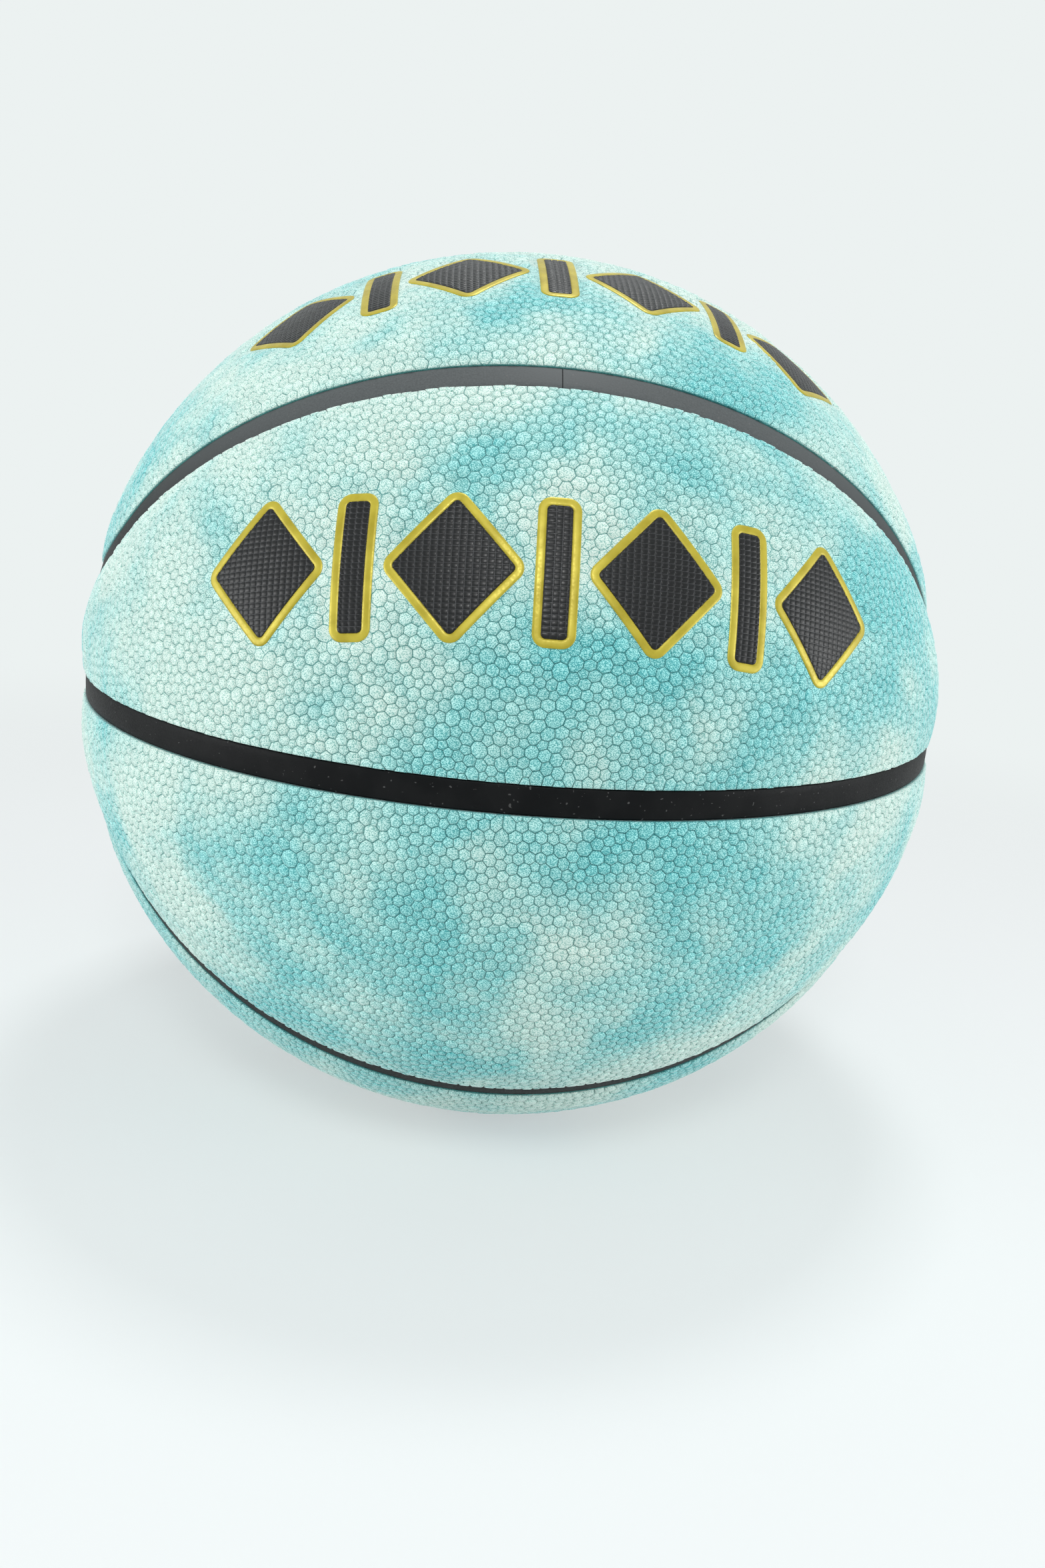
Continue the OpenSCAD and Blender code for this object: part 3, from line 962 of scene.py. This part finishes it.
def cover_leather():
    """Pebbled leather, dyed in soft teal and cream clouds, with a fine stipple and painted shade in the
    grooves.
    """
    material, tree, shader = new_material("dyed_pebble_leather")
    where = vector_node(tree, "ADD", {0: own_place(tree), 1: DYE_SHIFT})
    drift = add(tree, "ShaderNodeTexNoise", {"Vector": where, "Scale": DRIFT_SCALE, "Detail": 2.0})
    drift = vector_node(tree, "SUBTRACT", {0: drift.outputs["Color"], 1: (0.5, 0.5, 0.5)})
    drift = vector_node(tree, "SCALE", {0: drift, "Scale": DRIFT_REACH})
    warped = vector_node(tree, "ADD", {0: where, 1: drift})
    cloud = noise(tree, DYE_SCALE, detail=3.0, roughness=0.55, vector=warped)
    cloud = spread(tree, cloud, 0.38, 0.70)
    stipple = noise(tree, STIPPLE_SCALE, detail=1.0)
    dot = spread(tree, math_node(tree, "MULTIPLY_ADD", cloud, 0.07, stipple), 0.48, 0.62)
    ground = blend_colour(tree, cloud, CREAM, TEAL)
    dots = blend_colour(tree, cloud, CREAM_DOT, TEAL_DOT)
    colour = blend_colour(tree, dot, ground, dots)
    # Painted shade: darkens the colour in the grooves and on the low shoulders of the pebbles
    groove_shade = spread(tree, own_value(tree, "grain"), 0.1, 0.66, to_low=1.0, to_high=0.0)
    colour = blend_colour(tree, groove_shade, colour, GROOVE_SHADE_TINT, "MULTIPLY")
    level = spread(tree, own_value(tree, "tone"), 0.0, 1.0, to_low=0.95, to_high=1.04)
    colour = vector_node(tree, "SCALE", {0: colour, "Scale": level})
    tree.links.new(colour, shader.inputs["Base Color"])
    rough = spread(tree, stipple, 0.3, 0.7, to_low=0.48, to_high=0.6)
    tree.links.new(rough, shader.inputs["Roughness"])
    shader.inputs["Specular IOR Level"].default_value = 0.35
    shader.inputs["Sheen Weight"].default_value = 0.4
    shader.inputs["Sheen Roughness"].default_value = 0.45
    bump(tree, shader, stipple, strength=0.25, depth=0.06 * MM)
    return material


def gold_foil():
    """Smooth mustard-gold foil with a faint mottle."""
    material, tree, shader = new_material("gold_foil")
    patch = spread(tree, noise(tree, 180.0, detail=3.0), 0.3, 0.7)
    tree.links.new(blend_colour(tree, patch, GOLD_DEEP, GOLD_PALE), shader.inputs["Base Color"])
    fine = noise(tree, 1800.0)
    rough = spread(tree, fine, 0.3, 0.7, to_low=0.34, to_high=0.48)
    tree.links.new(rough, shader.inputs["Roughness"])
    shader.inputs["Metallic"].default_value = 0.25
    bump(tree, shader, fine, strength=0.15, depth=0.04 * MM)
    return material


def black_waffle():
    """Black inlay, darker on the small oblongs, with a painted highlight that greys the lines between them.
    """
    material, tree, shader = new_material("black_waffle")
    raised = spread(tree, own_value(tree, "grain"), 0.1, 0.8)
    patch = spread(tree, noise(tree, 300.0), 0.3, 0.7, to_low=0.8, to_high=1.2)
    # Painted highlight: the lines between the oblongs are greyer than their tops
    colour = blend_colour(tree, raised, WAFFLE_LINE_HIGHLIGHT, WAFFLE_TOP)
    colour = vector_node(tree, "SCALE", {0: colour, "Scale": patch})
    tree.links.new(colour, shader.inputs["Base Color"])
    rough = spread(tree, noise(tree, 2600.0, detail=1.0), 0.3, 0.7, to_low=0.3, to_high=0.42)
    tree.links.new(rough, shader.inputs["Roughness"])
    shader.inputs["Specular IOR Level"].default_value = 0.3
    return material


def strip_rubber():
    """Matte black rubber with a fine grain and a few pale specks, greyed towards the top by dust and a
    painted reflection of the overhead light.
    """
    material, tree, shader = new_material("black_seam_rubber")
    patch = spread(tree, noise(tree, 120.0, detail=3.0), 0.35, 0.65)
    fine = noise(tree, 2600.0)
    colour = blend_colour(tree, patch, STRIP_BLACK, STRIP_GREY)
    height = add(tree, "ShaderNodeSeparateXYZ", {0: own_place(tree)}).outputs["Z"]
    patchy = spread(tree, fine, 0.2, 0.8, to_low=0.7, to_high=1.0)
    # Dust and painted reflection: greyer with height, fully grey near the top of the ball
    dust_and_reflection = math_node(tree, "MULTIPLY", spread(tree, height, DUST_AND_REFLECTION_FROM, DUST_AND_REFLECTION_FULL), patchy)
    colour = blend_colour(tree, dust_and_reflection, colour, DUST_AND_REFLECTION_GREY)
    speck = spread(tree, noise(tree, 1500.0, detail=0.0), 0.78, 0.84, to_high=0.4)
    colour = blend_colour(tree, speck, colour, SPECK_GREY)
    tree.links.new(colour, shader.inputs["Base Color"])
    rough = spread(tree, fine, 0.3, 0.7, to_low=0.45, to_high=0.58)
    tree.links.new(rough, shader.inputs["Roughness"])
    shader.inputs["Specular IOR Level"].default_value = 0.1
    bump(tree, shader, fine, strength=0.2, depth=0.05 * MM)
    return material


def plain_rubber(name, dark, light, roughness, scale):
    """Moulded rubber of an inner piece, with a slight mottle."""
    material, tree, shader = new_material(name)
    mottle = spread(tree, noise(tree, scale, detail=3.0), 0.35, 0.65)
    tree.links.new(blend_colour(tree, mottle, dark, light), shader.inputs["Base Color"])
    shader.inputs["Roughness"].default_value = roughness
    bump(tree, shader, noise(tree, scale * 12), strength=0.2, depth=0.05 * MM)
    return material


def wound_thread():
    """Layer of wound nylon thread, in fine wavy turns."""
    material, tree, shader = new_material("wound_thread")
    turns = add(tree, "ShaderNodeTexWave", {
        "Vector": own_place(tree), "Scale": 260.0, "Distortion": 3.0, "Detail": 2.0,
    }).outputs["Fac"]
    tree.links.new(blend_colour(tree, turns, THREAD_DEEP, THREAD_PALE), shader.inputs["Base Color"])
    shader.inputs["Roughness"].default_value = 0.7
    bump(tree, shader, turns, strength=0.5, depth=0.2 * MM)
    return material


def dress_inner_nodes(nodes):
    """Gives the layers under the cover and the valve their own rubber and thread."""
    valve = plain_rubber("valve_rubber", VALVE_BLACK, VALVE_GREY, roughness=0.5, scale=400.0)
    finishes = {
        "carcass": plain_rubber("carcass_rubber", CARCASS_BLACK, CARCASS_GREY, roughness=0.7, scale=160.0),
        "bladder": plain_rubber("butyl_rubber", BUTYL_BLACK, BUTYL_GREY, roughness=0.45, scale=90.0),
        "thread_winding": wound_thread(),
        "valve_seat": valve,
        "valve_plug": valve,
    }
    for name, material in finishes.items():
        mesh = nodes[name].data
        mesh.materials.clear()
        mesh.materials.append(material)


# Studio


def photo_camera():
    """Camera at the photograph's place, turned and rolled as it was."""
    ahead = math.cos(CAMERA_EL)
    forward = Vector((math.sin(CAMERA_AZ) * ahead, math.cos(CAMERA_AZ) * ahead, -math.sin(CAMERA_EL)))
    level = Vector((math.cos(CAMERA_AZ), -math.sin(CAMERA_AZ), 0))
    rise = level.cross(forward)
    right = level * math.cos(CAMERA_ROLL) + rise * math.sin(CAMERA_ROLL)
    up = rise * math.cos(CAMERA_ROLL) - level * math.sin(CAMERA_ROLL)
    camera = link_object("camera", bpy.data.cameras.new("camera"))
    camera.data.lens = CAMERA_LENS
    camera.data.sensor_width = CAMERA_SENSOR
    camera.data.clip_start = CAMERA_NEAR
    turn = Matrix((right, up, -forward)).transposed().to_4x4()
    camera.matrix_world = Matrix.Translation(CAMERA_PLACE) @ turn
    bpy.context.scene.camera = camera


def seen_ray(tree):
    """One for what the camera sees, straight or in reflections, and zero for the light on the ball."""
    path = add(tree, "ShaderNodeLightPath").outputs
    mirrored = math_node(tree, "MAXIMUM", path["Is Glossy Ray"], path["Is Transmission Ray"])
    return math_node(tree, "MAXIMUM", path["Is Camera Ray"], mirrored)


def pale_world():
    """Soft light from all round; the camera and reflections see the pale backdrop."""
    world = bpy.data.worlds.new("studio")
    bpy.context.scene.world = world
    world.use_nodes = True
    tree = world.node_tree
    tree.nodes.clear()
    soft = add(tree, "ShaderNodeBackground", {"Color": (1, 1, 1, 1), "Strength": SOFT_LIGHT})
    pale = add(tree, "ShaderNodeBackground", {"Color": PALE_BACKDROP, "Strength": 1.0})
    mixed = add(tree, "ShaderNodeMixShader", {0: seen_ray(tree), 1: soft.outputs[0], 2: pale.outputs[0]})
    add(tree, "ShaderNodeOutputWorld", {"Surface": mixed.outputs[0]})


def soft_box(name, place, width, power):
    """Square soft lamp that faces the middle of the ball."""
    data = bpy.data.lights.new(name, "AREA")
    data.shape = "SQUARE"
    data.size = width
    data.energy = power
    lamp = link_object(name, data)
    lamp.location = place
    lamp.rotation_euler = (-Vector(place)).to_track_quat("-Z", "Y").to_euler()


def pale_floor():
    """Round floor under the ball that fades into the backdrop."""
    bpy.ops.mesh.primitive_circle_add(
        vertices=FLOOR_SIDES, radius=FLOOR_R, fill_type="NGON", location=(0, 0, 0)
    )
    floor = bpy.context.object
    floor.name = "floor"
    floor.data.transform(Matrix.Translation((0, 0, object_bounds()[0].z)))
    material, tree, shader = new_material("pale_floor")
    shader.inputs["Base Color"].default_value = FLOOR_COLOUR
    shader.inputs["Roughness"].default_value = 0.9
    shader.inputs["Specular IOR Level"].default_value = 0.0
    pale = add(tree, "ShaderNodeEmission", {"Color": PALE_FLOOR, "Strength": 1.0})
    lift = math_node(tree, "MULTIPLY", seen_ray(tree), FLOOR_LIFT)
    lifted = add(tree, "ShaderNodeMixShader", {0: lift, 1: shader.outputs[0], 2: pale.outputs[0]})
    fade = spread(tree, length_of(tree, own_place(tree)), FADE_FROM, FADE_FULL)
    clear = add(tree, "ShaderNodeBsdfTransparent")
    faded = add(tree, "ShaderNodeMixShader", {0: fade, 1: lifted.outputs[0], 2: clear.outputs[0]})
    tree.links.new(faded.outputs[0], tree.nodes["Material Output"].inputs["Surface"])
    floor.data.materials.append(material)
    floor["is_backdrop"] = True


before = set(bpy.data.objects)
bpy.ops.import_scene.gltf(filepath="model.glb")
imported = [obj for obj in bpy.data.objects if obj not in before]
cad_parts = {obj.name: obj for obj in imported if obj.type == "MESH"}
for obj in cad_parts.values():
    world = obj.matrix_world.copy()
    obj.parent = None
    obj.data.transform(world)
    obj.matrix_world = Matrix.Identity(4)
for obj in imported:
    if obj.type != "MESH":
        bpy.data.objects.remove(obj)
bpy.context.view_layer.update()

photo_camera()
pale_world()
for box_name, (box_place, box_width, box_power) in SOFT_BOXES.items():
    soft_box(box_name, box_place, box_width, box_power)
bpy.context.scene.view_settings.view_transform = "Standard"

sheet_tree = pressed_sheet_tree()
cover_panels(sheet_tree, cover_leather())
stamps(sheet_tree, gold_foil(), black_waffle())
seam_strips(strip_rubber())
dress_inner_nodes(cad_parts)
pale_floor()
